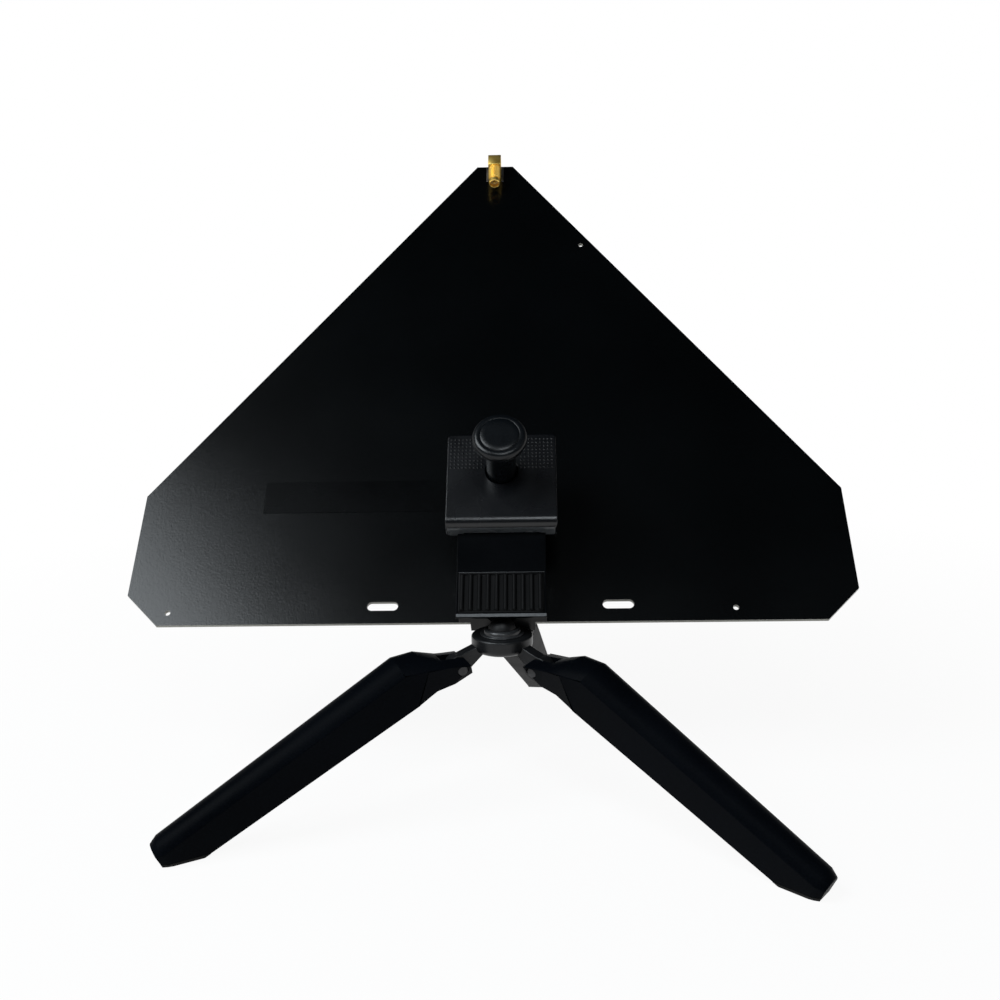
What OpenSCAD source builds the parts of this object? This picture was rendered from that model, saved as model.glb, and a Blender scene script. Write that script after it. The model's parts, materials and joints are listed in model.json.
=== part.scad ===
/* [Board] */
// Width of the antenna board across its side edges
board_w = 300; // [260:1:330]
// Height of the board from its lower edge to its tip
board_h = 268; // [240:1:300]
// Height of the shoulders, where the slanting edges start
shoulder_h = 63; // [50:1:80]
// Width of the tip that carries the connector
tip_w = 18.5; // [16:0.5:24]
// Size of the cut at each lower corner
corner_cut = 14; // [8:0.5:20]
// Thickness of the board
board_t = 1.6; // [1.2:0.1:2.4]
// How far the middle of the board sits to the left of the clamp
board_shift = 5.5; // [0:0.5:8]
// Distance between the middles of the two strap slots
slot_pitch = 96; // [80:1:120]
// Length of a strap slot
slot_len = 12.7; // [10:0.1:16]
// Width of a strap slot
slot_w = 4; // [3:0.1:5]
// Height of the strap slots above the lower edge
slot_rise = 7.8; // [6:0.1:12]
// How far the pair of slots sits to the right of the middle
slot_shift = 4.2; // [0:0.2:6]
// Diameter of a tooling hole
tooling_d = 2.3; // [1.6:0.1:3]
// Height of the two lower tooling holes above the lower edge
tooling_rise = 5.7; // [4:0.1:8]
// Distance of the left tooling hole from the left side
tooling_left = 18; // [16:0.5:30]
// Distance of the right tooling hole from the right side
tooling_right = 50.5; // [40:0.5:70]
// Height of the upper tooling hole
tooling_high = 210; // [180:1:225]
// Distance of the upper tooling hole from the slanting edge
tooling_inset = 6; // [4:0.5:9]

/* [Label] */
// Length of the plain black label on the board
label_l = 80; // [60:1:90]
// Height of the label
label_w = 16; // [12:0.5:20]
// Thickness of the label
label_t = 0.2; // [0.1:0.05:0.4]
// Height of the label above the board's lower edge
label_rise = 53.5; // [45:0.5:60]
// Distance of the label's left end from the middle of the board
label_left = 98; // [90:1:110]

/* [Connector] */
// Outer diameter of the threaded barrel
thread_d = 6.35; // [6:0.05:7]
// Length of the barrel in front of the body block
barrel_len = 11.3; // [9:0.1:14]
// Width of the body block
jack_w = 6.6; // [6.4:0.1:8]
// Length of the body block along the board
jack_len = 7; // [6:0.1:9]
// Height of the body block above the board
jack_h = 8.2; // [7.4:0.1:10]
// Height of the barrel's axis above the board
jack_axis = 5; // [4.6:0.1:5.6]
// Diameter of the plain end of the barrel
lead_d = 5.5; // [5:0.1:5.8]
// Length of the plain end of the barrel
lead_len = 2; // [1:0.1:3]
// Diameter of the socket in the barrel
socket_d = 4.6; // [4:0.1:4.8]
// Depth of the socket in front of the insulator
socket_depth = 2; // [1:0.1:4]
// Diameter of the centre contact
contact_d = 1.3; // [1:0.05:1.6]
// Distance between the solder legs
leg_pitch = 5.08; // [4:0.02:5.4]
// Diameter of a solder leg
solder_leg_d = 1.2; // [0.8:0.05:1.4]

/* [Clamp] */
// Angle by which the clamp and the board lean back
lean = 45; // [30:1:46]
// Width of the lower wall of the clamp
clamp_w = 35; // [30:0.5:42]
// Thickness of the lower wall
wall_t = 8; // [6:0.2:8.4]
// Distance of the wall's front from the stud's axis
wall_front = 11.1; // [10.6:0.1:13]
// Distance of the board's front from the stud's axis
face_gap = 13.5; // [13:0.1:16]
// Thickness of the floor under the board's edge
floor_t = 2.2; // [1.8:0.1:4]
// How far the front lip hangs below the floor
lip_drop = 7.8; // [4:0.1:8]
// Thickness of the front lip
lip_t = 2.2; // [1.6:0.1:2.4]
// Height of the solid root that holds the threaded insert
root_h = 11.5; // [10:0.5:14]
// Thickness of the arm behind the board
arm_t = 3; // [2.4:0.1:3.2]
// Height of the arm above the board's lower edge
arm_h = 66; // [62:1:80]
// Width of the arm
arm_w = 26; // [22:0.5:30]
// Size of the cut under the arm
heel_cut = 2.4; // [1:0.1:2.6]
// Thickness of the rubber pad on the arm
rear_pad_t = 0.8; // [0.5:0.1:1]
// Width of the upper block
block_w = 44.6; // [40:0.2:50]
// Height of the upper block
block_h = 44; // [40:0.5:52]
// Height of the block's lower edge above the board's lower edge
block_rise = 27; // [22:0.5:32]
// Distance of the block's front from the stud's axis
block_front = 17.5; // [16.5:0.1:20]
// Thickness of the upper block
block_t = 8; // [7.4:0.1:9]
// Radius of the block's rounded lower edge
block_round = 4; // [2:0.2:6]
// Height of the knob's axis above the board's lower edge
knob_rise = 53; // [50:0.5:56]
// Number of ribs on the front pad
rib_count = 10; // [6:1:12]
// Length of a rib
rib_len = 16.4; // [12:0.2:17]

/* [Knob] */
// Diameter of the knob's head
knob_d = 21.6; // [18:0.2:26]
// Thickness of the knob's head
knob_t = 4.8; // [4.6:0.2:9]
// Diameter of the knob's shank
shank_d = 12; // [10:0.2:13]
// Distance of the knob's face from the block's face
knob_reach = 24.5; // [20:0.5:32]
// Diameter of the clamp screw
screw_d = 6; // [5:0.1:6.6]
// Diameter of the pressure foot
presser_d = 16; // [12:0.5:18]
// Thickness of the pressure foot
presser_t = 4; // [3.4:0.1:5]
// Thickness of the rubber on the pressure foot
presser_pad_t = 1.2; // [0.8:0.1:2]

/* [Ball head] */
// Diameter of the ball
ball_d = 11; // [10.6:0.1:11.6]
// Height of the ball's middle above the ground
ball_z = 68; // [64:0.1:76]
// Diameter of the neck above the ball
neck_d = 5; // [4:0.1:5.2]
// Distance of the flange from the ball's middle
flange_low = 6.5; // [6.4:0.1:7]
// Thickness of the flange
flange_t = 1.4; // [1:0.1:2]
// Diameter of the flange
flange_d = 13; // [11:0.2:14]
// Thickness of the rubber washer on the flange
washer_t = 0.6; // [0.4:0.1:1]
// Diameter of the threaded stud
stud_d = 6.35; // [6:0.05:7]
// Length of the threaded stud above the washer
stud_len = 7; // [5:0.5:8]
// Outer diameter of the brass insert
insert_d = 9.2; // [8.4:0.1:10]
// Height of the retaining ring above the ball's middle
ring_top = 1.2; // [0.8:0.1:1.3]
// Thickness of the liner around the ball
liner_wall = 1.6; // [1.2:0.1:2]
// Thickness of the hub's wall
hub_wall = 4.8; // [4:0.1:5]
// Thickness of the hub's floor
hub_floor = 1.2; // [1:0.1:1.6]

/* [Legs] */
// Turn of the tripod about its axis
tripod_turn = -6; // [-12:1:0]
// Length of a leg from its pin to its toe
leg_len = 128.2; // [120:0.1:150]
// Width of a leg at its knee
knee_w = 20; // [16:0.5:21]
// Height of a leg's knee above the pin
knee_top = 13.9; // [12:0.1:14]
// Distance of the knee from the pin
knee_x = 12; // [11:0.1:14]
// Width of a leg at its crest
crest_w = 17.8; // [16:0.1:20]
// Height of a leg's crest above the leg's axis
crest_top = 16.8; // [14:0.1:17.6]
// Distance of the crest from the pin
crest_x = 20.4; // [18:0.1:28]
// Width of a leg at its toe
toe_w = 13.5; // [10:0.5:15]
// Height of a leg's toe above the leg's axis
toe_top = 8.1; // [6:0.1:9]
// Depth of a leg's toe below the leg's axis
toe_under = 8.4; // [6:0.1:9]
// Thickness of the hub's lugs
lug_t = 5; // [4:0.1:6]
// Radius of the round end of a lug
lug_r = 4.2; // [3.6:0.1:4.4]
// Distance of a pin from the hub's wall
pin_out = 7.2; // [7:0.1:9]
// Distance of a pin below the ball's middle
pin_drop = 11; // [10.8:0.1:12]
// Diameter of a hinge pin
pin_d = 4; // [3:0.1:4.4]
// Thickness of a rubber sole
sole_t = 1.2; // [0.8:0.1:2]

/* [Hidden] */
$fn = 48;
eps = 0.01;

// Clearances: a turning fit, a seat that stays still, the play at a shaft's end and a wide gap
fit_gap = 0.06;
seat_gap = 0.03;
end_play = 0.1;
wide_gap = 0.5;

// Heights along the stud's axis, measured from the ball's middle
ball_r = ball_d / 2;
seat_z = flange_low + flange_t + washer_t;
edge_z = seat_z + floor_t;
root_top = seat_z + root_h;
root_back = face_gap - 4;
wall_back = wall_t - wall_front;
arm_front = face_gap + board_t + rear_pad_t;
arm_back = arm_front + arm_t;
arm_top = edge_z + arm_h;
block_low = edge_z + block_rise;
block_top = block_low + block_h;
knob_z = edge_z + knob_rise;
insert_len = stud_len + 1;

// Chamfer under the lip, and the tongue of the clamp's wall inside the block
lip_edge = 1;
tongue_w = clamp_w - 5;
tongue_top = block_top - 3;
block_corner = 1.6;

// Ribbed front pad, set into a shallow recess
pad_set = 1;
rib_r = 0.9;
pad_border = 0.6;
pad_w = clamp_w - 1.6;
pad_low = seat_z - lip_drop + 1.5;
pad_h = rib_len + 2 * pad_border;
rib_pitch = (pad_w - 2 * pad_border - 2 * rib_r) / (rib_count - 1);
rib_row = rib_pitch * (rib_count - 1);
rib_low = pad_low + pad_border + rib_r;

// Arm behind the board and its rubber pad
heel_h = 6;
arm_round = 3;
arm_rib_w = 2;
arm_rib_t = 1.2;
rear_pad_w = arm_w - 4;
rear_pad_h = 36;
rear_pad_round = 2;
rear_pad_z = arm_top - rear_pad_h - 2;

// Clamp screw, measured forwards from the stud's axis
nut_af = 10;
nut_t = 5;
shank_depth = 4;
shank_end = block_front - shank_depth + wide_gap;
knob_face = block_front + knob_reach;
head_low = knob_face - knob_t;
screw_end = knob_face - knob_t + 1;
foot_back = -face_gap + presser_pad_t;
foot_front = foot_back + presser_t;
foot_socket = 2.6;
cap_d = knob_d - 6;
cap_t = 1.2;
cap_sunk = 0.9;
cap_step = 0.6;
cap_rim = 1;
rim_round = 2.2;
fixing_d = 3;
fixing_head_d = 5.6;
fixing_head_t = 2;
fixing_x = 9;
fixing_z = block_top - 8;
fixing_len = wall_t + 4.4;

// Hub and ball socket, measured from the ball's middle
liner_r = ball_r + liner_wall;
bore_r = liner_r + fit_gap;
hub_r = bore_r + hub_wall;
ring_r = bore_r - seat_gap;
ring_skirt = -2.2;
ring_edge = 0.6;
liner_low = -(ball_r + 0.7);
liner_top = ring_skirt - 2 * end_play;
hub_low = liner_low - end_play - hub_floor;
hub_top = -1;
hub_round = 3;
hub_edge = 0.6;
lug_drop = 2.3;
ring_lip_r = bore_r + 1.4;
ring_lip_t = 0.5;

// Legs
pin_r = hub_r + pin_out;
pin_z = ball_z - pin_drop;
end_x = -3.4;
end_top = 2.4;
end_w = knee_w - 2;
neck_x = 4.6;
neck_top = 6.8;
end_crown = 1.7;
end_under = 4.4;
knee_crown = 5.2;
knee_under = 2.6;
crest_under = 4;
toe_crown = 4.5;
toe_cut = 3.4;
toe_drop = 1.6;
keel_share = 0.5;
toe_out = 3;
toe_round = 3;
leg_slope = asin(pin_z / (leg_len + toe_out));
slot_end = lug_r + 0.8;
lug_gap = 0.25;
pin_len = end_w - 4;
leg_turns = [90 + tripod_turn, 210 + tripod_turn, 330 + tripod_turn];

// Connector
jack_foot = board_h - jack_len;
groove_d = thread_d - 1.1;
groove_len = 0.8;
thread_len = barrel_len - lead_len - groove_len;
insulator_len = barrel_len - socket_depth;
leg_out = 1.2;
pad_strip_w = 1.1;
pad_strip_l = 10;
pad_strip_t = 0.12;
pad_strip_x = jack_w / 2 + seat_gap + pad_strip_w / 2;
pad_strip_y = board_h - 1 - pad_strip_l / 2;
contact_bore = 0.55 * contact_d;
joint_low_d = 2.6;
joint_top_d = 1.6;
joint_h = 0.9;

// Half of the board's width at a height on its slanting edges
function edge_half(rise) =
    tip_w / 2 + (board_w - tip_w) / 2 * (board_h - rise) / (board_h - shoulder_h);

// Places of the four outer solder legs and of the contact's leg
function jack_legs() = [for (x = [-1, 1], y = [-1, 1])
    [x * leg_pitch / 2, board_h - jack_len / 2 + y * leg_pitch / 2]];
function contact_leg() = [0, board_h - jack_len / 2];

// Points of the arc over a leg's top, from one crease to the other
function crown_points(width, top, rise, steps = 10) =
    let (half = width / 2)
    let (radius = (half * half + rise * rise) / (2 * rise))
    let (reach = asin(half / radius))
    [for (i = [0 : steps])
        let (a = reach - 2 * reach * i / steps)
        [radius * sin(a), top - radius + radius * cos(a)]];

// The frame of the head: upright along the stud, with the ball's middle as its origin
module in_head() {
    translate([0, 0, ball_z])
        rotate([-lean, 0, 0])
            children();
}

// The frame of the board: across, up along the board, and out of its front
module on_board() {
    in_head()
        translate([-board_shift, face_gap, edge_z])
            rotate([90, 0, 0])
                children();
}

// The frame of the clamp screw: its axis points forwards, out of the board
module on_screw() {
    in_head()
        translate([0, 0, knob_z])
            rotate([90, 0, 0])
                children();
}

module at_ball() {
    translate([0, 0, ball_z])
        children();
}

module at_leg(turn) {
    rotate([0, 0, turn])
        translate([pin_r, 0, pin_z])
            rotate([0, leg_slope, 0])
                children();
}

module obround(length, width) {
    square([length - width, width], center = true);
    for (side = [-1, 1])
        translate([side * (length - width) / 2, 0])
            circle(d = width);
}

module rounded_plate(width, height, radius) {
    translate([-width / 2, radius])
        square([width, height - 2 * radius]);
    translate([-width / 2 + radius, 0])
        square([width - 2 * radius, height]);
    for (x = [-1, 1], y = [0, 1])
        translate([x * (width / 2 - radius), y == 0 ? radius : height - radius])
            circle(r = radius);
}

module board_outline() {
    half = board_w / 2;
    polygon([[-half + corner_cut, 0], [half - corner_cut, 0], [half, corner_cut], [half, shoulder_h],
             [tip_w / 2, board_h], [-tip_w / 2, board_h], [-half, shoulder_h], [-half, corner_cut]]);
}

module board_holes() {
    for (side = [-1, 1])
        translate([slot_shift + side * slot_pitch / 2, slot_rise])
            obround(slot_len, slot_w);
    translate([tooling_left - board_w / 2, tooling_rise])
        circle(d = tooling_d);
    translate([board_w / 2 - tooling_right, tooling_rise])
        circle(d = tooling_d);
    translate([edge_half(tooling_high) - tooling_inset, tooling_high])
        circle(d = tooling_d);
    for (place = jack_legs())
        translate(place)
            circle(d = solder_leg_d + 2 * seat_gap);
    translate(contact_leg())
        circle(d = contact_d + 2 * seat_gap);
}

module pcb_board() {
    color("#15171a")
        on_board()
            translate([0, 0, -board_t])
                linear_extrude(board_t)
                    difference() {
                        board_outline();
                        board_holes();
                    }
}

module board_label() {
    color("#0b0b0c")
        on_board()
            translate([-label_left, label_rise, 0])
                cube([label_l, label_w, label_t]);
}

// Runs along the barrel: up from the jack's body towards the board's lower edge
module on_barrel() {
    on_board()
        translate([0, jack_foot, jack_axis])
            rotate([90, 0, 0])
                children();
}

module jack_body() {
    color("goldenrod")
        difference() {
            union() {
                on_board()
                    translate([-jack_w / 2, jack_foot, 0])
                        cube([jack_w, jack_len, jack_h]);
                on_board()
                    for (place = jack_legs())
                        translate([place[0], place[1], -board_t - leg_out])
                            cylinder(d = solder_leg_d, h = board_t + leg_out + 1);
                on_barrel()
                    cylinder(d = thread_d, h = thread_len);
                on_barrel()
                    cylinder(d = groove_d, h = barrel_len);
                on_barrel()
                    translate([0, 0, barrel_len - lead_len])
                        cylinder(d = lead_d, h = lead_len);
            }
            on_barrel()
                translate([0, 0, -jack_len / 2 - contact_d])
                    cylinder(d = socket_d, h = barrel_len + jack_len);
            on_board()
                translate([contact_leg()[0], contact_leg()[1], -1])
                    cylinder(d = contact_d + 2 * wide_gap, h = jack_axis + 1);
        }
}

module jack_insulator() {
    color("ivory")
        difference() {
            on_barrel()
                translate([0, 0, contact_d])
                    cylinder(d = socket_d - 2 * seat_gap, h = insulator_len - contact_d);
            on_barrel()
                cylinder(d = contact_d + 2 * seat_gap, h = barrel_len);
        }
}

module jack_contact() {
    color("gold")
        difference() {
            union() {
                on_barrel()
                    translate([0, 0, -jack_len / 2])
                        cylinder(d = contact_d, h = jack_len / 2 + insulator_len + socket_depth / 2);
                on_board()
                    translate([contact_leg()[0], contact_leg()[1], -board_t - leg_out])
                        cylinder(d = contact_d, h = board_t + leg_out + jack_axis);
            }
            on_barrel()
                translate([0, 0, insulator_len - socket_depth])
                    cylinder(d = contact_bore, h = 3 * socket_depth);
        }
}

module solder_pads() {
    color("lightgrey")
        on_board()
            for (side = [-1, 1])
                translate([side * pad_strip_x, pad_strip_y, 0])
                    linear_extrude(pad_strip_t)
                        square([pad_strip_w, pad_strip_l], center = true);
}

module solder_joints() {
    color("silver")
        on_board()
            for (place = concat(jack_legs(), [contact_leg()]))
                translate([place[0], place[1], -board_t - joint_h])
                    difference() {
                        cylinder(d1 = joint_top_d, d2 = joint_low_d, h = joint_h);
                        translate([0, 0, -eps])
                            cylinder(d = contact_d + 2 * seat_gap, h = joint_h + 2 * eps);
                    }
}

// Side view of the clamp's front: lip, root and wall
module clamp_side() {
    polygon([[-wall_front, seat_z - lip_drop + lip_edge], [-wall_front + lip_edge, seat_z - lip_drop],
             [-wall_front + lip_t, seat_z - lip_drop],
             [-wall_front + lip_t, seat_z], [root_back, seat_z], [root_back, root_top],
             [wall_back, root_top], [wall_back, block_low], [-wall_front, block_low]]);
}

// Side view of the clamp's heel: the floor under the board and the foot of the arm
module heel_side() {
    polygon([[root_back - 1, seat_z], [arm_back - heel_cut, seat_z], [arm_back, seat_z + heel_cut],
             [arm_back, edge_z + heel_h], [arm_front, edge_z + heel_h], [arm_front, edge_z],
             [root_back - 1, edge_z]]);
}

// Turns a side view, drawn as depth and height, into a bar across the clamp
module across(width) {
    rotate([90, 0, 90])
        linear_extrude(width, center = true)
            children();
}

module clamp_body() {
    color("#1b1b1d")
        in_head()
            difference() {
                union() {
                    across(clamp_w)
                        clamp_side();
                    across(arm_w)
                        heel_side();
                    translate([0, arm_back, edge_z])
                        rotate([90, 0, 0])
                            linear_extrude(arm_t)
                                rounded_plate(arm_w, arm_h, arm_round);
                    for (side = [-1, 0, 1])
                        translate([side * arm_w / 3 - arm_rib_w / 2, arm_back - eps, edge_z + 2 * heel_h])
                            cube([arm_rib_w, arm_rib_t, arm_h - 4 * heel_h]);
                    translate([-tongue_w / 2, -wall_front, block_low - eps])
                        cube([tongue_w, wall_t, tongue_top - block_low + eps]);
                }
                translate([-pad_w / 2, -wall_front - eps, pad_low])
                    cube([pad_w, pad_set + eps, pad_h]);
                translate([0, 0, seat_z - eps])
                    cylinder(d = insert_d + 2 * seat_gap, h = insert_len + 2 * eps);
                translate([0, 0, knob_z])
                    rotate([90, 0, 0])
                        cylinder(d = screw_d + 2 * wide_gap, h = 3 * wall_t, center = true);
                translate([0, -wall_front - eps, knob_z])
                    rotate([-90, 30, 0])
                        cylinder(d = (nut_af + 2 * seat_gap) / cos(30), h = nut_t + 2 * eps, $fn = 6);
                for (side = [-1, 1])
                    translate([side * fixing_x, -wall_front - 1, fixing_z])
                        rotate([-90, 0, 0])
                            cylinder(d = fixing_d + 2 * seat_gap, h = wall_t + 2);
            }
}

// Side view of the block, with its round lower front edge
module block_side() {
    difference() {
        translate([-block_front, block_low])
            square([block_t, block_h]);
        translate([-block_front - eps, block_low - eps])
            square([block_round + eps, block_round + eps]);
    }
    translate([-block_front + block_round, block_low + block_round])
        circle(r = block_round);
}

module clamp_block() {
    color("#202123")
        in_head()
            difference() {
                intersection() {
                    across(block_w)
                        block_side();
                    translate([0, block_t - block_front + 1, block_low])
                        rotate([90, 0, 0])
                            linear_extrude(block_t + 2)
                                rounded_plate(block_w, block_h, block_corner);
                }
                translate([-tongue_w / 2 - seat_gap, -wall_front - seat_gap, block_low - 1])
                    cube([tongue_w + 2 * seat_gap, block_t, tongue_top - block_low + 1 + seat_gap]);
                translate([0, 0, knob_z])
                    rotate([90, 0, 0])
                        cylinder(d = screw_d + 2 * wide_gap, h = block_front + 1);
                translate([0, -block_front + shank_depth, knob_z])
                    rotate([90, 0, 0])
                        cylinder(d = shank_d + 2 * wide_gap, h = shank_depth + 1);
                for (side = [-1, 1])
                    translate([side * fixing_x, wall_back - fixing_len - seat_gap, fixing_z])
                        rotate([-90, 0, 0])
                            cylinder(d = fixing_d + 2 * seat_gap, h = fixing_len);
            }
}

module rib_pad() {
    color("#262729")
        in_head() {
            translate([-pad_w / 2 + seat_gap, -wall_front, pad_low + seat_gap])
                cube([pad_w - 2 * seat_gap, pad_set, pad_h - 2 * seat_gap]);
            for (i = [0 : rib_count - 1])
                translate([i * rib_pitch - rib_row / 2, -wall_front, rib_low]) {
                    cylinder(r = rib_r, h = rib_len - 2 * rib_r, $fn = 24);
                    sphere(r = rib_r, $fn = 24);
                    translate([0, 0, rib_len - 2 * rib_r])
                        sphere(r = rib_r, $fn = 24);
                }
        }
}

module rear_pad() {
    color("#2b2c2e")
        in_head()
            translate([0, arm_front, rear_pad_z])
                rotate([90, 0, 0])
                    linear_extrude(rear_pad_t)
                        rounded_plate(rear_pad_w, rear_pad_h, rear_pad_round);
}

module block_screws() {
    color("silver")
        in_head()
            for (side = [-1, 1])
                translate([side * fixing_x, wall_back, fixing_z])
                    rotate([90, 0, 0]) {
                        cylinder(d = fixing_d, h = fixing_len);
                        translate([0, 0, -fixing_head_t])
                            cylinder(d1 = fixing_head_d - 1, d2 = fixing_head_d, h = fixing_head_t);
                    }
}

module screw_nut() {
    color("silver")
        in_head()
            translate([0, -wall_front, knob_z])
                rotate([-90, 30, 0])
                    difference() {
                        cylinder(d = nut_af / cos(30), h = nut_t, $fn = 6);
                        translate([0, 0, -eps])
                            cylinder(d = screw_d + 2 * fit_gap, h = nut_t + 2 * eps);
                    }
}

module threaded_insert() {
    color("darkgoldenrod")
        in_head()
            translate([0, 0, seat_z])
                difference() {
                    cylinder(d = insert_d, h = insert_len);
                    translate([0, 0, -eps])
                        cylinder(d = stud_d + 2 * seat_gap, h = insert_len + 2 * eps);
                }
}

module ball_stud() {
    color("#3a3b3d")
        in_head() {
            sphere(d = ball_d);
            cylinder(d = neck_d, h = flange_low + eps);
            translate([0, 0, flange_low])
                cylinder(d = flange_d, h = flange_t);
            translate([0, 0, flange_low])
                cylinder(d = stud_d, h = flange_t + washer_t + stud_len);
        }
}

module flange_washer() {
    color("#17181a")
        in_head()
            translate([0, 0, flange_low + flange_t])
                difference() {
                    cylinder(d = flange_d, h = washer_t);
                    translate([0, 0, -eps])
                        cylinder(d = stud_d + 2 * seat_gap, h = washer_t + 2 * eps);
                }
}

module clamp_screw() {
    color("silver")
        on_screw()
            translate([0, 0, foot_front - foot_socket + end_play])
                cylinder(d = screw_d, h = screw_end - foot_front + foot_socket - end_play);
}

// Half of the knob's section: shank, round rim and shallow dish for the cap
module knob_section() {
    difference() {
        union() {
            translate([0, shank_end])
                square([shank_d / 2, knob_face - knob_t - shank_end + 1]);
            translate([0, head_low])
                square([knob_d / 2 - rim_round, knob_t]);
            translate([0, head_low + rim_round])
                square([knob_d / 2, knob_t - 2 * rim_round]);
            for (rise = [head_low + rim_round, knob_face - rim_round])
                translate([knob_d / 2 - rim_round, rise])
                    circle(r = rim_round);
        }
        translate([-eps, knob_face - cap_sunk])
            square([cap_d / 2 + seat_gap, cap_sunk + 1]);
        translate([-eps, shank_end - 1])
            square([screw_d / 2 + seat_gap, screw_end - shank_end + 1]);
        translate([-knob_d, 0])
            square([knob_d, 2 * knob_face]);
    }
}

module clamp_knob() {
    color("#1d1e20")
        on_screw()
            rotate_extrude()
                knob_section();
}

module knob_cap() {
    color("#232426")
        on_screw()
            translate([0, 0, knob_face - cap_sunk])
                rotate_extrude() {
                    square([cap_d / 2 - cap_rim, cap_t]);
                    square([cap_d / 2, cap_t - cap_step]);
                }
}

module pressure_foot() {
    color("#2a2b2d")
        on_screw()
            difference() {
                translate([0, 0, foot_back])
                    cylinder(d1 = presser_d, d2 = presser_d - 2, h = presser_t);
                translate([0, 0, foot_front - foot_socket])
                    cylinder(d = screw_d + 2 * fit_gap, h = foot_socket + 1);
            }
}

module foot_rubber() {
    color("#121314")
        on_screw()
            translate([0, 0, foot_back - presser_pad_t])
                cylinder(d = presser_d - 1, h = presser_pad_t);
}

module ball_liner() {
    color("whitesmoke")
        at_ball()
            difference() {
                translate([0, 0, liner_low])
                    cylinder(r = liner_r, h = liner_top - liner_low);
                sphere(r = ball_r + fit_gap);
            }
}

module retaining_ring() {
    color("#303133")
        at_ball()
            difference() {
                union() {
                    translate([0, 0, ring_skirt])
                        cylinder(r = ring_r, h = ring_top - ring_edge - ring_skirt);
                    translate([0, 0, ring_top - ring_edge])
                        cylinder(r1 = ring_r, r2 = ring_r - ring_edge, h = ring_edge);
                    translate([0, 0, hub_top])
                        cylinder(r = ring_lip_r, h = ring_lip_t);
                }
                sphere(r = ball_r + fit_gap);
            }
}

// Half of the hub's section, with a chamfer above and a rounded lower edge
module hub_section() {
    polygon([[0, hub_low + hub_round], [hub_r, hub_low + hub_round], [hub_r, hub_top - hub_edge],
             [hub_r - hub_edge, hub_top], [0, hub_top]]);
    translate([0, hub_low])
        square([hub_r - hub_round, hub_round]);
    intersection() {
        translate([hub_r - hub_round, hub_low + hub_round])
            circle(r = hub_round);
        square([4 * hub_r, 4 * hub_r], center = true);
    }
}

// Side view of a lug: a bar from the hub's wall to a round end about the pin
module lug_side() {
    translate([pin_r, -pin_drop])
        circle(r = lug_r);
    polygon([[hub_r - hub_round, hub_top - lug_drop], [hub_r - hub_round, hub_low],
             [pin_r - lug_r * cos(45), -pin_drop - lug_r * sin(45)],
             [pin_r + lug_r * cos(45), -pin_drop + lug_r * sin(45)]]);
}

module tripod_hub() {
    color("#1c1d1f")
        at_ball()
            difference() {
                union() {
                    rotate_extrude()
                        hub_section();
                    for (turn = leg_turns)
                        rotate([90, 0, turn])
                            linear_extrude(lug_t, center = true)
                                lug_side();
                }
                translate([0, 0, liner_low - end_play])
                    cylinder(r = bore_r, h = hub_top - liner_low + 1);
                for (turn = leg_turns)
                    rotate([0, 0, turn])
                        translate([pin_r, 0, -pin_drop])
                            rotate([90, 0, 0])
                                cylinder(d = pin_d + 2 * seat_gap, h = 2 * lug_t, center = true);
            }
}

module hinge_pins() {
    color("silver")
        for (turn = leg_turns)
            rotate([0, 0, turn])
                translate([pin_r, 0, pin_z])
                    rotate([90, 0, 0])
                        cylinder(d = pin_d, h = pin_len, center = true);
}

// A thin slice of a leg: arched top, a crease on each side and a narrower keel
module leg_slice(x, width, top, rise, under) {
    keel = width * keel_share;
    translate([x, 0, 0])
        rotate([90, 0, 90])
            linear_extrude(eps)
                polygon(concat(crown_points(width, top, rise),
                               [[-keel / 2, -under], [keel / 2, -under]]));
}

module leg_blank(turn) {
    at_leg(turn) {
        hull() {
            leg_slice(end_x, end_w, end_top, end_crown, end_under);
            leg_slice(neck_x, end_w, neck_top, end_crown, end_under);
        }
        hull() {
            leg_slice(neck_x, end_w, neck_top, end_crown, end_under);
            leg_slice(knee_x, knee_w, knee_top, knee_crown, knee_under);
        }
        hull() {
            leg_slice(knee_x, knee_w, knee_top, knee_crown, knee_under);
            leg_slice(crest_x, crest_w, crest_top, knee_crown, crest_under);
        }
        hull() {
            leg_slice(crest_x, crest_w, crest_top, knee_crown, crest_under);
            leg_slice(leg_len - toe_cut, toe_w, toe_top, toe_crown, toe_under);
            leg_slice(leg_len - eps, toe_w - toe_round, toe_top - toe_drop, toe_crown - toe_drop, toe_under);
        }
    }
}

module ground_slab(low, high) {
    reach = 4 * leg_len;
    translate([-reach / 2, -reach / 2, low])
        cube([reach, reach, high - low]);
}

module leg(turn) {
    color("#1a1b1c")
        difference() {
            leg_blank(turn);
            ground_slab(-leg_len, sole_t);
            at_leg(turn)
                translate([2 * end_x, -lug_t / 2 - lug_gap, -leg_len])
                    cube([slot_end - 2 * end_x, lug_t + 2 * lug_gap, 2 * leg_len]);
            at_leg(turn)
                rotate([90, 0, 0])
                    cylinder(d = pin_d + 2 * fit_gap, h = 2 * knee_w, center = true);
        }
}

module sole(turn) {
    color("#101112")
        intersection() {
            leg_blank(turn);
            ground_slab(0, sole_t);
        }
}

module leg_rear() {
    leg(leg_turns[0]);
}

module leg_left() {
    leg(leg_turns[1]);
}

module leg_right() {
    leg(leg_turns[2]);
}

module sole_rear() {
    sole(leg_turns[0]);
}

module sole_left() {
    sole(leg_turns[1]);
}

module sole_right() {
    sole(leg_turns[2]);
}

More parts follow.
